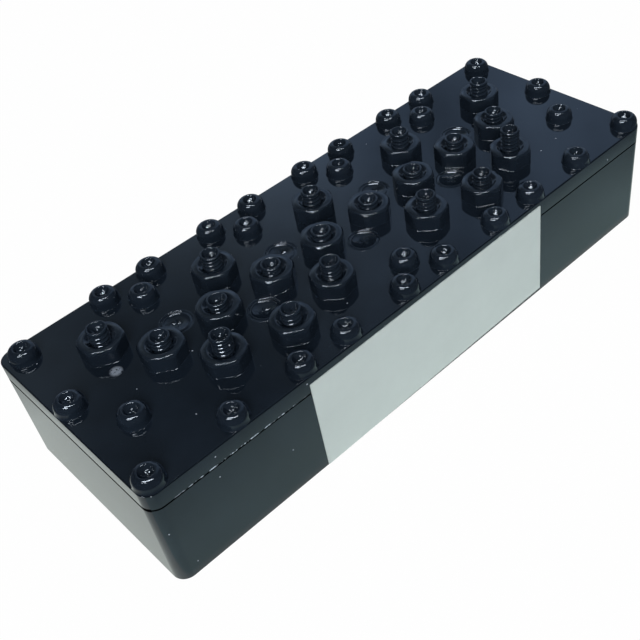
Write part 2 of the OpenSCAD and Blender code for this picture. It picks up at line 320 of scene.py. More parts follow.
def chain(name, points):
    """Extrudes one vertex from point to point, in millimetres."""
    bpy.ops.object.select_all(action="DESELECT")
    bpy.ops.mesh.primitive_plane_add(size=1, location=(0, 0, 0))
    obj = bpy.context.active_object
    obj.name = name
    open_edit(obj)
    bpy.ops.mesh.select_all(action="SELECT")
    bpy.ops.mesh.merge(type="CENTER")
    bpy.ops.transform.translate(value=points[0])
    for last, point in zip(points, points[1:]):
        bpy.ops.mesh.extrude_region_move(TRANSFORM_OT_translate={"value": point - last})
    close_edit()
    return obj


def lathe(name, profile, steps):
    """Spins a chain of (radius, height) points, in millimetres, round the Z axis."""
    obj = chain(name, [Vector((radius, 0, height)) for radius, height in profile])
    open_edit(obj)
    bpy.ops.mesh.select_all(action="SELECT")
    bpy.ops.mesh.spin(steps=steps, angle=math.tau, center=(0, 0, 0), axis=(0, 0, 1))
    close_edit()
    tidy_up(obj)
    return obj


def block(name, size):
    """A cube primitive of that size in millimetres, about the origin."""
    bpy.ops.object.select_all(action="DESELECT")
    bpy.ops.mesh.primitive_cube_add(size=1, location=(0, 0, 0))
    obj = bpy.context.active_object
    obj.name = name
    obj.data.transform(Matrix.Diagonal((*size, 1)))
    return obj


def bevel(obj, width, segments, angle):
    """Rounds every edge sharper than the angle, in degrees."""
    take(obj)
    mod = obj.modifiers.new("Rounding", "BEVEL")
    mod.width = width
    mod.segments = segments
    mod.limit_method = "ANGLE"
    mod.angle_limit = math.radians(angle)
    mod.use_clamp_overlap = True
    bpy.ops.object.modifier_apply(modifier=mod.name)


def cut(obj, tool):
    """Cuts the tool out of obj, and deletes the tool."""
    take(obj)
    mod = obj.modifiers.new("Cut", "BOOLEAN")
    mod.operation = "DIFFERENCE"
    mod.solver = "EXACT"
    mod.object = tool
    bpy.ops.object.modifier_apply(modifier=mod.name)
    bpy.data.objects.remove(tool)


def copied(obj, name, place):
    """A copy of obj with its own mesh, moved by a matrix in millimetres."""
    new = obj.copy()
    new.data = obj.data.copy()
    new.name = new.data.name = name
    bpy.context.scene.collection.objects.link(new)
    new.data.transform(place)
    return new


def joined(objs, name):
    """Joins the objects into the first one, under a new name."""
    take(objs[0])
    for o in objs:
        o.select_set(True)
    bpy.ops.object.join()
    objs[0].name = objs[0].data.name = name
    return objs[0]


def turned_copies(screw, copy_name, seats, seed, name):
    """One object of a screw's copies at all seats, their recesses turned at random. The first one goes."""
    chance = random.Random(seed)
    copies = []
    for seat in seats:
        place = seat @ Matrix.Rotation(chance.uniform(0, QUARTER_TURN), 4, "Z")
        copies.append(copied(screw, copy_name, place))
    bpy.data.objects.remove(screw)
    return joined(copies, name)


def from_cad(node, name):
    """A merged copy of a CAD node, in millimetres, to be reworked."""
    source = frame["nodes"][node]
    obj = bpy.data.objects.new(name, source.data.copy())
    obj.data.name = name
    obj.data.materials.clear()
    bpy.context.scene.collection.objects.link(obj)
    obj.data.transform(Matrix.Scale(1 / MM, 4))
    tidy_up(obj, flat=math.radians(0.5))
    return obj


def hand_over(obj, nodes, material, smooth=40):
    """Scales the finished mesh to metres, smooths and paints it, and hands it to its CAD body."""
    obj.data.transform(Matrix.Scale(MM, 4))
    obj.data.materials.clear()
    obj.data.materials.append(material)
    take(obj)
    bpy.ops.object.shade_smooth_by_angle(angle=math.radians(smooth))
    mod = obj.modifiers.new("Even faces", "WEIGHTED_NORMAL")
    mod.keep_sharp = True
    mod.weight = 80
    bpy.ops.object.modifier_apply(modifier=mod.name)
    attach(obj, NODE_BODY[nodes[0]])
    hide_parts(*nodes)


def solid_middles(node):
    """Middles, in plan, of the separate round solids of a node, read from their lowest faces."""
    at_foot, solid_reach = 0.05, 2.1
    low, _ = node_box(node)
    seats = []
    for v in frame["nodes"][node].data.vertices:
        p = v.co / MM
        if p.z < low.z + at_foot:
            near = [s for s in seats if (s[0] - p.xy).length < solid_reach]
            if near:
                near[0].append(p.xy)
            else:
                seats.append([p.xy])
    middles = []
    for seat in seats:
        xs, ys = [q.x for q in seat], [q.y for q in seat]
        middles.append(Vector(((min(xs) + max(xs)) / 2, (min(ys) + max(ys)) / 2)))
    return middles


# Materials


def new_tree(name):
    """A material with an empty node tree."""
    material = bpy.data.materials.new(name)
    material.use_nodes = True
    tree = material.node_tree
    tree.nodes.clear()
    return material, tree


def add(tree, kind, inputs=None, **settings):
    """Adds a node, with its settings, and its inputs linked or set."""
    node = tree.nodes.new(kind)
    for key, value in settings.items():
        setattr(node, key, value)
    for key, value in (inputs or {}).items():
        if isinstance(value, bpy.types.NodeSocket):
            tree.links.new(value, node.inputs[key])
        else:
            node.inputs[key].default_value = value
    return node


def principled(tree, inputs):
    """Ends a material in one shader with these inputs."""
    shader = add(tree, "ShaderNodeBsdfPrincipled", inputs)
    add(tree, "ShaderNodeOutputMaterial", {"Surface": shader.outputs[0]})


def bumps(tree, height, strength, distance):
    """Normal of a surface with that height pattern; the distance is in metres."""
    inputs = {"Height": height, "Strength": strength, "Distance": distance}
    return add(tree, "ShaderNodeBump", inputs).outputs[0]


def mix_colour(tree, factor, a, b):
    node = add(tree, "ShaderNodeMix", data_type="RGBA")
    for socket, value in ((node.inputs[0], factor), (node.inputs[6], a), (node.inputs[7], b)):
        if isinstance(value, bpy.types.NodeSocket):
            tree.links.new(value, socket)
        else:
            socket.default_value = value if not isinstance(value, tuple) else (*value, 1)
    return node.outputs[2]


def math_node(tree, operation, a, b=0.0, clamp=False):
    node = add(tree, "ShaderNodeMath", operation=operation, use_clamp=clamp)
    for socket, value in zip(node.inputs, (a, b)):
        if isinstance(value, bpy.types.NodeSocket):
            tree.links.new(value, socket)
        else:
            socket.default_value = value
    return node.outputs[0]


def times(tree, a, b):
    return math_node(tree, "MULTIPLY", a, b)


def larger(tree, a, b):
    return math_node(tree, "MAXIMUM", a, b)


def vector_node(tree, operation, *values):
    """Vector maths, with a number as its result where the operation gives one."""
    node = add(tree, "ShaderNodeVectorMath", dict(enumerate(values)), operation=operation)
    return node.outputs["Value" if operation in ("DISTANCE", "DOT_PRODUCT", "LENGTH") else "Vector"]


def spread(tree, value, low, high, to_low=0.0, to_high=1.0):
    """Value spread from low..high over to_low..to_high, and held there outside."""
    return add(
        tree, "ShaderNodeMapRange",
        {"Value": value, "From Min": low, "From Max": high, "To Min": to_low, "To Max": to_high}, clamp=True,
    ).outputs[0]


def in_millimetres(tree, stretch=(1, 1, 1)):
    """Object coordinates in millimetres."""
    place = add(tree, "ShaderNodeTexCoord")
    scale = [s / MM for s in stretch]
    return add(tree, "ShaderNodeMapping", {"Vector": place.outputs["Object"], "Scale": scale}).outputs[0]


def noise(tree, place, size, detail=2.0, roughness=0.5):
    """Noise whose waves are about size millimetres long."""
    return add(
        tree, "ShaderNodeTexNoise",
        {"Vector": place, "Scale": 1 / size, "Detail": detail, "Roughness": roughness},
    ).outputs[0]


def dust_specks(tree, place, share):
    """Mask of small round specks, in a share of the cells of the dust's grid."""
    cells = add(tree, "ShaderNodeTexVoronoi", {"Vector": place, "Scale": 1 / DUST_CELL, "Randomness": 1.0})
    reach = DUST_RADIUS / DUST_CELL
    near = spread(tree, cells.outputs["Distance"], reach, reach * 0.5)
    lot = add(tree, "ShaderNodeSeparateColor", {"Color": cells.outputs["Color"]}).outputs[0]
    return times(tree, near, math_node(tree, "LESS_THAN", lot, share))


def seam_marks_and_shade(tree, place, colour, rough):
    """Painted shade in the gap at the seam, wider at the left end, and in a band just under the cover's top
    edge; chips along the seam in front, and the scuff beside the end nut.

    Returns the paint's colour, roughness, metal and gloss with these marks."""
    x, y, z = add(tree, "ShaderNodeSeparateXYZ", {"Vector": place}).outputs

    def off(level):
        return math_node(tree, "ABSOLUTE", math_node(tree, "SUBTRACT", z, level))

    off_seam = off(SEAM_Z)
    on_edge = spread(tree, off(SEAM_Z + 0.12), 0.14, 0.07)
    in_front = math_node(tree, "LESS_THAN", y, 0.12 - HALF_W)
    flaked = spread(tree, noise(tree, place, size=0.8, detail=4.0, roughness=0.75), 0.5, 0.53)
    stretch = times(tree, spread(tree, x, -47, -41), spread(tree, x, -24.6, -27))
    chips = times(tree, times(tree, on_edge, in_front), times(tree, flaked, stretch))

    # Painted shade: a half-dark band just under the cover's top edge, and near-black, less glossy paint in
    # the gap at the seam, wider at the left end
    rim = times(tree, spread(tree, off(COVER_TOP - 0.14), 0.12, 0.04), 0.5)
    seam_shade = larger(tree, spread(tree, off_seam, 0.2, 0.1), rim)
    left_end = math_node(tree, "LESS_THAN", x, 0.5 - HALF_L)
    seam_shade = larger(tree, seam_shade, times(tree, left_end, spread(tree, off_seam, 0.36, 0.24)))
    gloss = times(tree, math_node(tree, "SUBTRACT", 1.0, seam_shade), PAINT_GLOSS)

    near_scuff = spread(tree, vector_node(tree, "DISTANCE", place, SCUFF_PLACE), 1.0, 0.6)
    scuff = times(tree, near_scuff, spread(tree, noise(tree, place, size=0.35, detail=3.0), 0.36, 0.46))

    colour = mix_colour(tree, seam_shade, colour, SEAM_SHADE_COLOUR)
    colour = mix_colour(tree, scuff, colour, SCUFF_COLOUR)
    colour = mix_colour(tree, chips, colour, CHIP_COLOUR)
    rough = larger(tree, rough, times(tree, chips, 0.35))
    return colour, rough, times(tree, chips, 0.3), gloss


def black_paint(name, settings, roughness, waviness, seam=False):
    """Thick glossy paint with specks of dust, and slow waves so many thousandths of a millimetre high."""
    material, tree = new_tree(name)
    place = in_millimetres(tree)
    specks = dust_specks(tree, place, settings.dust)
    cloud = spread(tree, noise(tree, place, size=9.0, detail=3.0), 0.35, 0.75)
    colour = mix_colour(tree, cloud, tuple(settings.colour), tuple(c * 1.5 for c in settings.colour))
    colour = mix_colour(tree, times(tree, specks, 0.8), colour, DUST_COLOUR)
    haze = noise(tree, place, size=5.0, detail=4.0, roughness=0.6)
    rough = spread(tree, haze, 0.3, 0.75, roughness * 0.8, roughness * 1.4)
    rough = larger(tree, rough, times(tree, specks, 0.6))
    metal, gloss = 0.0, PAINT_GLOSS
    if seam:
        colour, rough, metal, gloss = seam_marks_and_shade(tree, place, colour, rough)
    waves = noise(tree, place, size=1.7, detail=1.0)
    long_waves = noise(tree, place, size=7.0, detail=1.0)
    height = math_node(tree, "ADD", waves, times(tree, long_waves, 3.0))
    principled(tree, {
        "Base Color": colour, "Roughness": rough, "Metallic": metal, "IOR": 1.5,
        "Specular IOR Level": gloss, "Normal": bumps(tree, height, 1.0, waviness * MM * MM),
    })
    return material


def plated_metal(name, colour, roughness, turned=False):
    """Metal with a fine grain; turned metal has its grain round the Y axis, as jacks do."""
    material, tree = new_tree(name)
    place = in_millimetres(tree, (1, 6, 1) if turned else (1, 1, 1))
    grain = noise(tree, place, size=0.25 if turned else 0.4, detail=4.0, roughness=0.6)
    stain = noise(tree, in_millimetres(tree), size=2.5, detail=3.0)
    darker = tuple(c * 0.82 for c in colour)
    principled(tree, {
        "Base Color": mix_colour(tree, spread(tree, stain, 0.3, 0.75), tuple(colour), darker),
        "Roughness": spread(tree, grain, 0.3, 0.7, roughness * 0.75, roughness * 1.3),
        "Metallic": 1.0,
        "Normal": bumps(tree, grain, 0.4, 4e-6),
    })
    return material


def white_fluoropolymer():
    """Waxy white plastic with a faint cloudiness."""
    material, tree = new_tree("white_fluoropolymer")
    cloud = noise(tree, in_millimetres(tree), size=0.8, detail=3.0)
    principled(tree, {
        "Base Color": mix_colour(tree, spread(tree, cloud, 0.3, 0.7), (0.84, 0.83, 0.79), (0.74, 0.73, 0.69)),
        "Roughness": 0.5,
        "IOR": 1.35,
        "Normal": bumps(tree, cloud, 0.3, 1e-5),
    })
    return material


def label_film(settings):
    """Satin film with a faint mottle and grain."""
    material, tree = new_tree("label_film")
    place = in_millimetres(tree)
    mottle = noise(tree, place, size=6.0, detail=4.0, roughness=0.6)
    grain = noise(tree, place, size=0.3, detail=2.0)
    tone = math_node(tree, "ADD", spread(tree, mottle, 0.25, 0.8), times(tree, grain, 0.15), clamp=True)
    darker = tuple(c * 0.93 for c in settings.colour)
    principled(tree, {
        "Base Color": mix_colour(tree, tone, tuple(settings.colour), darker),
        "Roughness": 0.42,
        "IOR": 1.45,
        "Normal": bumps(tree, grain, 0.3, 4e-6),
    })
    return material


def fastener_paint(context):
    """The smooth paint of all screws and nuts, made when first asked for."""
    name = "black_fastener_paint"
    made = bpy.data.materials.get(name)
    return made or black_paint(name, context.scene.filter_paint, roughness=0.014, waviness=0.15)


# Operators, one for each group of pieces and one for the stage


def round_outline(obj, level, radius):
    """Rounds the edges that run along the outside of the block at a level."""
    near_corner = 3.2
    low, high = COVER_LOW, COVER_HIGH

    def outside(v):
        off_end = min(abs(v.co.x - low.x), abs(v.co.x - high.x))
        off_side = min(abs(v.co.y - low.y), abs(v.co.y - high.y))
        in_corner = off_end < near_corner and off_side < near_corner
        return abs(v.co.z - level) < 0.005 and (min(off_end, off_side) < 0.01 or in_corner)

    def along(edge):
        a, b = edge.verts
        sharp = len(edge.link_faces) == 2 and edge.calc_face_angle(0) > math.radians(60)
        return outside(a) and outside(b) and sharp

    round_edges(obj, along, radius, 3, "no outline at that level")


class FILTER_OT_block_and_cover(bpy.types.Operator):
    """Dresses the milled block and its cover"""

    bl_idname = "filter.block_and_cover"
    bl_label = "Block and cover"

    def execute(self, context):
        paint = context.scene.filter_paint
        skin = black_paint("black_skin_paint", paint, paint.roughness, paint.waviness, seam=True)
        body = from_cad("housing", "painted_block")
        round_outline(body, SEAM_Z, 0.16)
        hand_over(body, ["housing"], skin, smooth=50)

        plate = from_cad("cover", "painted_cover")
        round_outline(plate, SEAM_Z, 0.14)
        round_outline(plate, COVER_TOP, 0.14)
        middles = solid_middles("countersunk_screws")

        def on_sink(v):
            return abs(v.co.z - COVER_TOP) <= 0.01 and 2.3 < min((v.co.xy - m).length for m in middles) < 2.7

        round_edges(plate, lambda e: all(map(on_sink, e.verts)), 0.06, 2, "the cover has no countersinks")
        hand_over(plate, ["cover"], skin, smooth=50)
        return {"FINISHED"}


def press_cross(obj, reach, half_arm, depth, blend, above):
    """Presses a soft cross, as a painted-over recess, into the top of a round head."""
    open_edit(obj)

    def in_cross(v):
        x, y = abs(v.co.x), abs(v.co.y)
        return v.co.z > above and ((x < reach and y < half_arm) or (y < reach and x < half_arm))

    if not choose(obj, in_cross):
        raise RuntimeError("no vertices lie in the cross")
    bpy.ops.transform.translate(
        value=(0, 0, -depth), use_proportional_edit=True, proportional_edit_falloff="SMOOTH",
        proportional_size=blend,
    )
    close_edit()


def shoulder(radius, side, flat, height, steps=11):
    """A rounded shoulder, from the flat top down to the upright side."""
    turn = [math.radians(74) * (1 - k / steps) for k in range(steps + 1)]
    return [(flat + (radius - flat) * math.cos(a), side + (height - side) * math.sin(a)) for a in turn]


def bowl(ball, reach, rim_z, lip, steps=9, lip_steps=4):
    """A hollow cut by a ball, from its middle out to its lip, which rounds over onto the top."""
    bottom = rim_z - (ball - math.sqrt(ball * ball - reach * reach))
    hollow = []
    for k in range(steps + 1):
        radius = reach * k / steps
        hollow.append((radius, bottom + ball - math.sqrt(ball * ball - radius ** 2)))
    lean = math.asin(reach / ball)
    turns = [lean * (1 - k / lip_steps) for k in range(1, lip_steps + 1)]
    foot = (reach + lip * math.sin(lean), rim_z - lip * math.cos(lean))
    return hollow + [(foot[0] - lip * math.sin(a), foot[1] + lip * math.cos(a)) for a in turns]


def pan_head(name, radius, side, height, steps):
    """A painted pan head seated at z = 0, with the hollow that the paint leaves of its recess."""
    hollow = bowl(ball=1.12, reach=1.0, rim_z=height - 0.1, lip=0.16)
    brow = shoulder(radius * 0.96, side, flat=1.12, height=height)[1:]
    upright = [(radius * 0.98, side * 0.5), (radius, 0.12)]
    fillet = [(radius + 0.02, 0.03), (radius + 0.05, 0.0)]
    under = [(radius * 0.5, -0.02), (0, -0.02)]
    return lathe(name, hollow + brow + upright + fillet + under, steps)


class FILTER_OT_pan_heads(bpy.types.Operator):
    """Models one painted pan head and copies it to every cover screw"""

    bl_idname = "filter.pan_heads"
    bl_label = "Pan head screws"

    def execute(self, context):
        screws = context.scene.filter_screws
        low, high = node_box("pan_head_screws")
        height, end = high.z - COVER_TOP, low.z - COVER_TOP
        middles = solid_middles("pan_head_screws")
        radius = high.x - max(m.x for m in middles)
        head = pan_head("pan_head", radius, 0.6, height, screws.steps)
        press_cross(
            head, reach=screws.recess_half / MM, half_arm=0.1, depth=screws.recess_depth / MM, blend=0.2,
            above=height * 0.5,
        )
        shank = lathe("shank", [(0, end), (0.9, end), (0.98, end + 0.1), (0.98, -0.02)], 24)
        head = joined([head, shank], "pan_head")
        seats = [Matrix.Translation((*middle, COVER_TOP)) for middle in middles]
        heads = turned_copies(head, "cover_screw", seats, screws.seed, "cover_pan_heads")
        hand_over(heads, ["pan_head_screws"], fastener_paint(context))
        return {"FINISHED"}


class FILTER_OT_countersunk(bpy.types.Operator):
    """Models one countersunk screw under its paint and copies it to every countersink"""

    bl_idname = "filter.countersunk"
    bl_label = "Countersunk screws"

    def execute(self, context):
        screws = context.scene.filter_screws
        low, _ = node_box("countersunk_screws")
        end = low.z - COVER_TOP
        dish_r, dish_steps = 1.6, 10
        dish = []
        for k in range(dish_steps + 1):
            dish.append((dish_r * k / dish_steps, 0.2 * (k / dish_steps) ** 2 - 0.36))
        ridge = [
            (1.7, -0.127), (1.75, -0.105), (1.79, -0.078), (1.83, -0.05), (1.87, -0.032), (1.92, -0.02),
            (1.98, -0.025), (2.05, -0.045), (2.12, -0.075),
        ]
        filled_gap = [
            (2.2, -0.105), (2.26, -0.11), (2.3, -0.09), (2.33, -0.03), (2.36, -0.006), (2.42, 0),
            (2.5, 0.002), (2.53, -0.02),
        ]
        under = [(2.44, -0.07), (1.0, -1.5), (1.0, end + 0.1), (0.9, end), (0, end)]
        head = lathe("sunk_head", dish + ridge + filled_gap + under, screws.steps)
        press_cross(head, reach=0.8, half_arm=0.1, depth=0.1, blend=0.13, above=-0.4)
        seats = [Matrix.Translation((*middle, COVER_TOP)) for middle in solid_middles("countersunk_screws")]
        heads = turned_copies(head, "sunk_screw", seats, screws.seed + 1, "cover_sunk_screws")
        hand_over(heads, ["countersunk_screws"], fastener_paint(context))
        return {"FINISHED"}


def nut_profile(apothem, height, brow=0.21, brow_steps=8):
    """Levels of a painted nut's edge, as (height, apothem, share of roundness gained).

    They are its side, its round brow and the faint slope of the ring on top."""
    ring = math.atan(RING_SLOPE)
    face_r = apothem - brow * (1 - math.sin(ring))
    face_z = height - (face_r - DISH_R) * RING_SLOPE
    levels = [(face_z - 0.5, apothem, 0), (face_z - 0.38, apothem, 0.06), (face_z - 0.3, apothem, 0.12)]
    for k in range(brow_steps + 1):
        tilt = math.radians(90) + (ring - math.radians(90)) * k / brow_steps
        level = face_z + brow * (math.cos(tilt) - math.cos(ring))
        levels.append((level, apothem - brow * (1 - math.sin(tilt)), 0.24))
    levels.append((face_z + (face_r - 1.8) * RING_SLOPE, 1.8, 0.6))
    return levels


def hexagon_bar(name, apothem, start, levels):
    """A six-sided bar with rounded upright edges, drawn up through levels of (height, apothem, roundness)."""
    corner_round, corner_steps, flat_cuts = 0.7, 6, 5
    top = levels[0][0]
    bpy.ops.object.select_all(action="DESELECT")
    corner_r = apothem / math.cos(math.radians(30))
    bpy.ops.mesh.primitive_cylinder_add(vertices=6, radius=corner_r, depth=top - start)
    bar = bpy.context.active_object
    bar.name = name
    corner = max(bar.data.vertices, key=lambda v: v.co.x).co
    turn = Matrix.Rotation(-math.atan2(corner.y, corner.x), 4, "Z")
    bar.data.transform(Matrix.Translation((0, 0, (top + start) / 2)) @ turn)
    open_edit(bar, "EDGE")
    choose(bar, lambda e: abs(edge_run(e).normalized().z) > 0.9, "edges")
    bpy.ops.mesh.bevel(offset=corner_round, segments=corner_steps, affect="EDGES")
    choose(bar, lambda e: 1 < edge_run(e).xy.length < 3, "edges")
    bpy.ops.mesh.subdivide(number_cuts=flat_cuts)
    bpy.ops.mesh.select_mode(type="FACE")
    choose(bar, lambda f: f.normal.z > 0.9, "faces")
    for height, reach, roundness in levels[1:]:
        bpy.ops.mesh.extrude_region_move(TRANSFORM_OT_translate={"value": (0, 0, height - top)})
        if roundness:
            bpy.ops.transform.tosphere(value=roundness)
        rim = min(v.co.xy.length for v in bmesh.from_edit_mesh(bar.data).verts if v.select)
        bpy.ops.transform.resize(value=(reach / rim, reach / rim, 1), center_override=(0, 0, 0))
        top = height
    close_edit()
    return bar


class FILTER_OT_lock_nuts(bpy.types.Operator):
    """Models one painted hexagon nut and sets a copy on every tuning screw"""

    bl_idname = "filter.lock_nuts"
    bl_label = "Lock nuts"

    def execute(self, context):
        low, high = node_box(NUTS[0])
        height = high.z - low.z
        corner = self.far_corner(NUTS[0]) - ((low + high) / 2).xy
        apothem = corner.length * math.cos(math.radians(30))
        nut = hexagon_bar("nut", apothem, 0, nut_profile(apothem, height))

        bore = 1.53
        dish = [(bore, -0.5), (1.62, -0.48), (1.8, -0.36), (1.98, -0.2), (2.3, 0.12), (2.0, 1), (0, 1)]
        hole = [(0, -1), (bore, -1), *((radius, height + z) for radius, z in dish)]
        cut(nut, lathe("thread_hole", hole, 64))
        tidy_up(nut)

        def on_dish_rim(v):
            return -0.02 < v.co.z - height < 0.09 and abs(v.co.xy.length - DISH_R) < 0.08

        round_edges(nut, lambda e: all(map(on_dish_rim, e.verts)), 0.1, 3, "the nut has no dish")
        fillet = ((0, 0.03), (0.008, 0.01), (0.02, 0), (0.03, -0.1))
        foot_levels = [(level, apothem + out, 0) for level, out in fillet]
        nut = joined([nut, hexagon_bar("foot", apothem + 0.03, -0.02, foot_levels)], "nut")
        for node in NUTS:
            low, high = node_box(node)
            middle = (low + high) / 2
            corner = self.far_corner(node, low.z + 0.05) - middle.xy
            turn = Matrix.Rotation(math.atan2(corner.y, corner.x), 4, "Z")
            place = Matrix.Translation((middle.x, middle.y, low.z)) @ turn
            painted = copied(nut, node.replace("lock", "painted"), place)
            hand_over(painted, [node], fastener_paint(context), smooth=50)
        bpy.data.objects.remove(nut)
        return {"FINISHED"}

    def far_corner(self, node, up_to=math.inf):
        """Plan of the nut's vertex farthest from its middle, among those below a level."""
        low, high = node_box(node)
        middle = ((low + high) / 2).xy
        points = [v.co / MM for v in frame["nodes"][node].data.vertices]
        return max((p.xy for p in points if p.z < up_to), key=lambda p: (p - middle).length)


def threaded_rod(name, root, depth, pitch, start, length, steps):
    """A rod along Z with a rounded helical thread."""
    rod = chain(name, [Vector((root + depth * out, 0, pitch * along)) for out, along in THREAD_SHAPE])
    mod = rod.modifiers.new("Thread", "SCREW")
    mod.axis = "Z"
    mod.screw_offset = pitch
    mod.iterations = math.ceil(length / pitch) + 2
    mod.steps = mod.render_steps = steps
    mod.use_merge_vertices = True
    mod.merge_threshold = 1e-4
    bpy.ops.object.modifier_apply(modifier=mod.name)
    rod.data.transform(Matrix.Translation((0, 0, start - pitch)))
    open_edit(rod)
    for height, side in ((start, "inner"), (start + length, "outer")):
        bpy.ops.mesh.select_all(action="SELECT")
        bpy.ops.mesh.bisect(
            plane_co=(0, 0, height), plane_no=(0, 0, 1), use_fill=True,
            clear_inner=side == "inner", clear_outer=side == "outer",
        )
    close_edit()
    tidy_up(rod)
    return rod


class FILTER_OT_tuning_screws(bpy.types.Operator):
    """Models one threaded tuning screw and copies it to every place"""

    bl_idname = "filter.tuning_screws"
    bl_label = "Tuning screws"

    def execute(self, context):
        screws = context.scene.filter_screws
        low, high = node_box(TRIMMERS[0])
        length = high.z - low.z
        outer = (high.x - low.x) / 2
        depth = screws.thread_depth / MM
        rod = threaded_rod(
            "rod", root=outer - depth - 0.02, depth=depth, pitch=screws.pitch / MM, start=-length + 0.25,
            length=length - 0.43, steps=screws.steps,
        )
        cap_z = -0.95
        room = [(0, cap_z + 0.02), (1.14, cap_z + 0.02), (1.14, 1), (0, 1)]
        cut(rod, lathe("room", room, screws.steps))
        wall = [
            (1.41, -0.03), (1.47, -0.08), (1.5, -0.16), (1.51, -0.3), (1.47, -0.42), (1.36, -0.5),
            (1.2, -0.6), (1.17, cap_z), (0, cap_z),
        ]
        cup = bowl(ball=1.2, reach=1.12, rim_z=-0.12, lip=0.18)
        cap = lathe("cap", cup + wall, screws.steps)
        press_cross(cap, reach=0.75, half_arm=0.14, depth=0.26, blend=0.13, above=-0.92)
        point_r = outer - 0.12
        point = [(0, 0), (outer - 0.35, 0), (point_r, 0.2), (point_r, 0.35), (0, 0.35)]
        tip = lathe("tip", [(radius, z - length) for radius, z in point], screws.steps)
        stud = joined([cap, rod, tip], "stud")
        chance = random.Random(screws.seed + 2)
        for node in TRIMMERS:
            low, high = node_box(node)
            place = Matrix.Translation(((low.x + high.x) / 2, (low.y + high.y) / 2, high.z))
            place = place @ Matrix.Rotation(chance.uniform(0, math.tau), 4, "Z")
            painted = copied(stud, "painted_" + node, place)
            hand_over(painted, [node], fastener_paint(context), smooth=60)
        bpy.data.objects.remove(stud)
        return {"FINISHED"}


class FILTER_OT_jacks(bpy.types.Operator):
    """Models one two-hole flange jack and sets it at both ends"""

    bl_idname = "filter.jacks"
    bl_label = "Jacks"

    def execute(self, context):
        self.shells(context.scene.filter_jacks)
        self.flange_heads(context.scene.filter_screws)
        return {"FINISHED"}

    def shells(self, jacks):
        """Flange, threaded barrel and sleeve, modelled upright on z = 0 and turned to point backwards."""
        steel = plated_metal("stainless_steel", jacks.metal, 0.26, turned=True)
        low, high = node_box("input_jack_shell")
        reach = high.y - low.y
        middle = (low + high) / 2
        upright = Matrix.Rotation(math.radians(90), 4, "X")
        flange = from_cad("input_jack_shell", "flange")
        flange.data.transform(upright @ Matrix.Translation((-middle.x, -low.y, -middle.z)))
        flange_top = 1.62
        open_edit(flange)
        bpy.ops.mesh.select_all(action="SELECT")
        bpy.ops.mesh.bisect(plane_co=(0, 0, flange_top), plane_no=(0, 0, 1), use_fill=True, clear_outer=True)
        close_edit()
        tidy_up(flange, flat=math.radians(0.5))
        bevel(flange, width=0.12, segments=2, angle=40)

        start, bore = 3.5, 2.4
        barrel = threaded_rod(
            "barrel", root=2.78, depth=0.395, pitch=jacks.pitch / MM, start=start,
            length=reach - 0.35 - start, steps=64,
        )
        cut(barrel, lathe("bore", [(0, 0), (bore, 0), (bore, reach + 1), (0, reach + 1)], 64))
        inside = [(2.07, 0), (2.07, reach - 1.9), (2.3, reach - 1.9), (2.3, reach - 0.12)]
        mouth = [(2.4, reach), (2.66, reach), (2.8, reach - 0.12), (2.8, reach - 0.36), (2.6, reach - 0.36)]
        neck = [(2.6, 3.6), (2.8, 3.52), (2.8, 3.3), (2.65, 3.2), (2.65, 1.75), (2.75, flange_top)]
        sleeve = lathe("sleeve", inside + mouth + neck + [(2.75, 1.5), (2.07, 0)], 64)
        shell = joined([flange, barrel, sleeve], "shell")
        backwards = Matrix.Rotation(math.radians(-90), 4, "X")
        for port in PORTS:
            low, high = node_box(port + "_jack_shell")
            seat = Matrix.Translation(((low.x + high.x) / 2, low.y, (low.z + high.z) / 2))
            threaded = copied(shell, port + "_threaded_shell", seat @ backwards)
            hand_over(threaded, [port + "_jack_shell"], steel, smooth=45)
        bpy.data.objects.remove(shell)

    def flange_heads(self, screws):
        """The bare pan heads that hold the flanges."""
        height, off_axis = 1.85, 6.11
        low, high = node_box("flange_screws")
        head = pan_head("flange_head", (high.z - low.z) / 2, 0.95, height, screws.steps)
        press_cross(head, reach=0.95, half_arm=0.2, depth=0.7, blend=0.16, above=1.2)
        backwards = Matrix.Rotation(math.radians(-90), 4, "X")
        seats = []
        for port in PORTS:
            shell_low, shell_high = node_box(port + "_jack_shell")
            middle = (shell_low + shell_high) / 2
            for side in (-1, 1):
                seat = Matrix.Translation((middle.x + side * off_axis, high.y - height, middle.z))
                seats.append(seat @ backwards)
        heads = turned_copies(head, "flange_screw", seats, screws.seed + 3, "flange_pan_heads")
        bare = plated_metal("bare_steel_screws", (0.6, 0.59, 0.57), 0.24)
        hand_over(heads, ["flange_screws"], bare)


class FILTER_OT_label(bpy.types.Operator):
    """Lays the bare label on the front face"""

    bl_idname = "filter.label"
    bl_label = "Label"

    def execute(self, context):
        label = context.scene.filter_label
        low, high = node_box("label")
        size = (high.x - low.x - 0.3, high.y - low.y, label.height / MM)
        film = block("film", size)

        def in_face(edge):
            return all(v.co.y < 0.001 - size[1] / 2 for v in edge.verts)

        round_edges(film, lambda e: abs(edge_run(e).normalized().y) > 0.9, 0.12, 3, "the film has no corners")
        round_edges(film, in_face, 0.05, 2, "the film has no face")
        middle = Vector(((low.x + high.x) / 2 + label.aside / MM, (low.y + high.y) / 2, label.middle / MM))
        film.data.transform(Matrix.Translation(middle) @ Matrix.Rotation(-label.lean, 4, "Y"))
        film.name = film.data.name = "label_film"
        hand_over(film, ["label"], label_film(label))
        return {"FINISHED"}


class FILTER_OT_inner_parts(bpy.types.Operator):
    """Gives the posts, insulators and contacts their finishes"""

    bl_idname = "filter.inner_parts"
    bl_label = "Inner parts"

    def execute(self, context):
        finishes = (
            ("resonator_", plated_metal("silver_plate", (0.76, 0.75, 0.71), 0.2)),
            ("contact", plated_metal("gold_plate", (0.83, 0.6, 0.24), 0.18, turned=True)),
            ("insulator", white_fluoropolymer()),
        )
        for node, obj in frame["nodes"].items():
            for word, material in finishes:
                if word in node:
                    obj.data.materials.clear()
                    obj.data.materials.append(material)
        return {"FINISHED"}


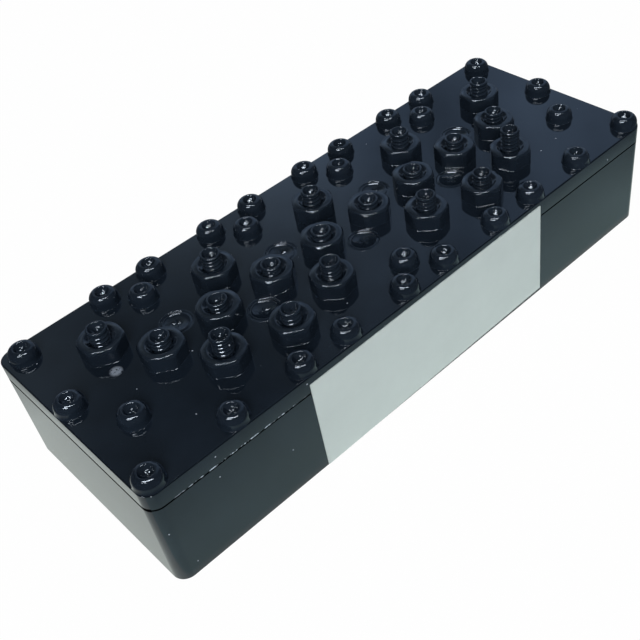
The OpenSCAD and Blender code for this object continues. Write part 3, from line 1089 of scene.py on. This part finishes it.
class FILTER_OT_stage(bpy.types.Operator):
    """Sets the floor, the surroundings, three ceiling lamps, a soft fill light and the camera"""

    bl_idname = "filter.stage"
    bl_label = "Stage"

    def execute(self, context):
        stage = context.scene.filter_stage
        scene = context.scene
        bpy.ops.object.select_all(action="DESELECT")
        bpy.ops.mesh.primitive_plane_add(size=8, location=(0, 0, 0.01 * MM))
        floor = context.active_object
        floor.name = "floor"
        floor.data.materials.append(self.floor_material(stage))
        self.surroundings(scene, stage)
        self.lamps(stage)
        self.fill(stage)
        self.camera(scene, stage)
        scene.view_settings.view_transform = "Standard"
        return {"FINISHED"}

    def floor_material(self, stage):
        """White to the camera and in reflections, where it is tinted and turns dark beyond the sheet.

        Its matt part keeps the object's shadow on it. From below it is clear."""
        material, tree = new_tree("floor")
        path = add(tree, "ShaderNodeLightPath")
        place = add(tree, "ShaderNodeTexCoord").outputs["Object"]
        mirrored = larger(tree, path.outputs["Is Glossy Ray"], path.outputs["Is Transmission Ray"])
        seen = times(tree, path.outputs["Is Camera Ray"], stage.seen)
        share = larger(tree, seen, times(tree, mirrored, stage.mirrored))
        matt = add(tree, "ShaderNodeBsdfDiffuse", {"Color": (*stage.floor, 1)})
        shade = mix_colour(tree, mirrored, (1.0, 1.0, 1.0), tuple(stage.tint))
        y = add(tree, "ShaderNodeSeparateXYZ", {"Vector": place}).outputs[1]
        in_front = spread(tree, y, -HALF_W * MM, -(HALF_W + 1) * MM)
        shade = mix_colour(tree, times(tree, in_front, mirrored), shade, FRONT_TINT)
        white = add(tree, "ShaderNodeEmission", {"Color": shade, "Strength": 1.0})
        near = add(tree, "ShaderNodeMixShader", {0: share, 1: matt.outputs[0], 2: white.outputs[0]})
        outside = vector_node(tree, "SUBTRACT", vector_node(tree, "ABSOLUTE", place), COVER_HIGH * MM)
        away = vector_node(tree, "LENGTH", vector_node(tree, "MAXIMUM", outside, (0, 0, 0)))
        far = times(tree, mirrored, spread(tree, away, stage.sheet * 0.12, stage.sheet))
        room = add(tree, "ShaderNodeEmission", {"Color": (*stage.dark_sky, 1), "Strength": 1.0})
        both = add(tree, "ShaderNodeMixShader", {0: far, 1: near.outputs[0], 2: room.outputs[0]})
        below = add(tree, "ShaderNodeNewGeometry").outputs["Backfacing"]
        clear = add(tree, "ShaderNodeBsdfTransparent")
        one_sided = add(tree, "ShaderNodeMixShader", {0: below, 1: both.outputs[0], 2: clear.outputs[0]})
        add(tree, "ShaderNodeOutputMaterial", {"Surface": one_sided.outputs[0]})
        return material

    def surroundings(self, scene, stage):
        """Dark in front and overhead, softly lit behind, with paler and darker patches as in a real room."""
        world = bpy.data.worlds.new("surroundings")
        scene.world = world
        world.use_nodes = True
        tree = world.node_tree
        tree.nodes.clear()
        way = add(tree, "ShaderNodeTexCoord").outputs["Generated"]

        def patch(azimuth, elevation, radius):
            a, e = math.radians(azimuth), math.radians(elevation)
            middle = (math.cos(a) * math.cos(e), math.sin(a) * math.cos(e), math.sin(e))
            near = vector_node(tree, "DOT_PRODUCT", way, middle)
            return spread(tree, near, math.cos(math.radians(radius)), 1.0)

        up = add(tree, "ShaderNodeSeparateXYZ", {"Vector": way}).outputs[2]
        behind = vector_node(tree, "DOT_PRODUCT", way, (*BEHIND, 0))
        blotches = add(tree, "ShaderNodeTexNoise", {"Vector": way, "Scale": 9.0, "Detail": 2.0}).outputs[0]
        level = spread(tree, blotches, 0.25, 0.75, 0.7, 1.3)
        for azimuth, elevation, radius, gain in SKY_PATCHES:
            step = times(tree, patch(azimuth, elevation, radius), gain)
            level = times(tree, level, math_node(tree, "ADD", step, 1.0))
        soft = mix_colour(tree, patch(74, 48, 24), tuple(stage.sky), tuple(stage.warm_sky))
        band = times(tree, spread(tree, up, 0.22, 0.08), spread(tree, behind, 0.3, 0.8))
        level_reach = math_node(tree, "SQRT", math_node(tree, "SUBTRACT", 1.0, times(tree, up, up)))
        straight = math_node(tree, "DIVIDE", behind, level_reach)
        share = times(tree, spread(tree, straight, 0.74, 0.86), spread(tree, up, 0.95, 0.8))
        colour = mix_colour(tree, share, tuple(stage.dark_sky), soft)
        colour = mix_colour(tree, band, colour, tuple(stage.horizon))
        change = times(tree, share, math_node(tree, "SUBTRACT", level, 1.0))
        strength = math_node(tree, "ADD", 1.0, change)
        back = add(tree, "ShaderNodeBackground", {"Color": colour, "Strength": strength})
        add(tree, "ShaderNodeOutputWorld", {"Surface": back.outputs[0]})

    def lamps(self, stage):
        """Long ceiling lamps, level and nearly square to the camera's view. They show only as glints."""
        turn = math.radians(LAMP_AZIMUTH)
        along = Vector((math.cos(turn), math.sin(turn), 0))
        beside = Vector((math.sin(turn), -math.cos(turn), 0))
        for lean, start, end in LAMPS:
            left, right = (LAMP_HEIGHT * math.tan(math.radians(a)) for a in (start, end))
            length = right - left
            data = bpy.data.lights.new("ceiling_lamp", "AREA")
            data.shape = "RECTANGLE"
            data.size, data.size_y = length, stage.lamp_width
            data.energy = stage.lamp_power * length
            data.color = LAMP_COLOUR
            lamp = bpy.data.objects.new("ceiling_lamp", data)
            lamp.visible_diffuse = False
            bpy.context.scene.collection.objects.link(lamp)
            aside = beside * LAMP_HEIGHT * math.tan(math.radians(lean))
            middle = aside + along * (left + right) / 2 + UP * LAMP_HEIGHT
            turned = Matrix((along, UP.cross(along), UP)).transposed().to_4x4()
            lamp.matrix_world = Matrix.Translation(middle) @ turned

    def fill(self, stage):
        """A large soft light from the camera's side, which lights the object and makes no glints."""
        distance, elevation = 2, math.radians(36)
        data = bpy.data.lights.new("soft_fill", "AREA")
        data.shape = "SQUARE"
        data.size = 1.5
        data.energy = stage.fill_power
        fill = bpy.data.objects.new("soft_fill", data)
        bpy.context.scene.collection.objects.link(fill)
        fill.visible_glossy = False
        aim = UP * math.sin(elevation) - Vector((*BEHIND, 0)) * math.cos(elevation)
        level = Vector((BEHIND[1], -BEHIND[0], 0))
        turned = Matrix((level, aim.cross(level), aim)).transposed().to_4x4()
        fill.matrix_world = Matrix.Translation(aim * distance) @ turned

    def camera(self, scene, stage):
        """The photograph's camera, solved from the block's edges and the rows of screws."""
        azimuth, height, roll = (math.radians(a) for a in (-39.649, 44.495, -7.734))
        aim, distance = Vector((-0.629, -6.991, 0)), 151.09
        level_x, level_y = math.sin(azimuth), -math.cos(azimuth)
        back = Vector((level_x * math.cos(height), level_y * math.cos(height), math.sin(height)))
        level = UP.cross(back).normalized()
        over = back.cross(level)
        right = math.cos(roll) * level + math.sin(roll) * over
        top = math.cos(roll) * over - math.sin(roll) * level
        data = bpy.data.cameras.new("camera")
        data.sensor_width = 36
        data.lens = stage.lens
        data.shift_x, data.shift_y = -0.10799, 0.03167
        data.clip_start = 0.01
        camera = bpy.data.objects.new("camera", data)
        scene.collection.objects.link(camera)
        place = Matrix((right, top, back)).transposed().to_4x4()
        place.translation = aim * MM + back * distance * MM
        camera.matrix_world = place
        scene.camera = camera


# Panel and registration

STEPS = (
    FILTER_OT_block_and_cover,
    FILTER_OT_pan_heads,
    FILTER_OT_countersunk,
    FILTER_OT_lock_nuts,
    FILTER_OT_tuning_screws,
    FILTER_OT_jacks,
    FILTER_OT_label,
    FILTER_OT_inner_parts,
    FILTER_OT_stage,
)
GROUPS = (
    ("filter_paint", FilterPaint),
    ("filter_screws", FilterScrews),
    ("filter_jacks", FilterJacks),
    ("filter_label", FilterLabel),
    ("filter_stage", FilterStage),
)


class FILTER_PT_panel(bpy.types.Panel):
    """Lists the steps that dress the filter"""

    bl_idname = "FILTER_PT_panel"
    bl_label = "Cavity filter"
    bl_space_type = "VIEW_3D"
    bl_region_type = "UI"
    bl_category = "Filter"

    def draw(self, context):
        for step in STEPS:
            self.layout.operator(step.bl_idname)
        for name, group in GROUPS:
            box = self.layout.box()
            settings = getattr(context.scene, name)
            for prop in group.__annotations__:
                box.prop(settings, prop)


def register():
    for name, group in GROUPS:
        bpy.utils.register_class(group)
        setattr(bpy.types.Scene, name, PointerProperty(type=group))
    for cls in (*STEPS, FILTER_PT_panel):
        bpy.utils.register_class(cls)


def unregister():
    for cls in (FILTER_PT_panel, *reversed(STEPS)):
        bpy.utils.unregister_class(cls)
    for name, group in reversed(GROUPS):
        delattr(bpy.types.Scene, name)
        bpy.utils.unregister_class(group)


def main():
    register()
    for step in STEPS:
        group, name = step.bl_idname.split(".")
        getattr(getattr(bpy.ops, group), name)()


if __name__ == "__main__":
    main()
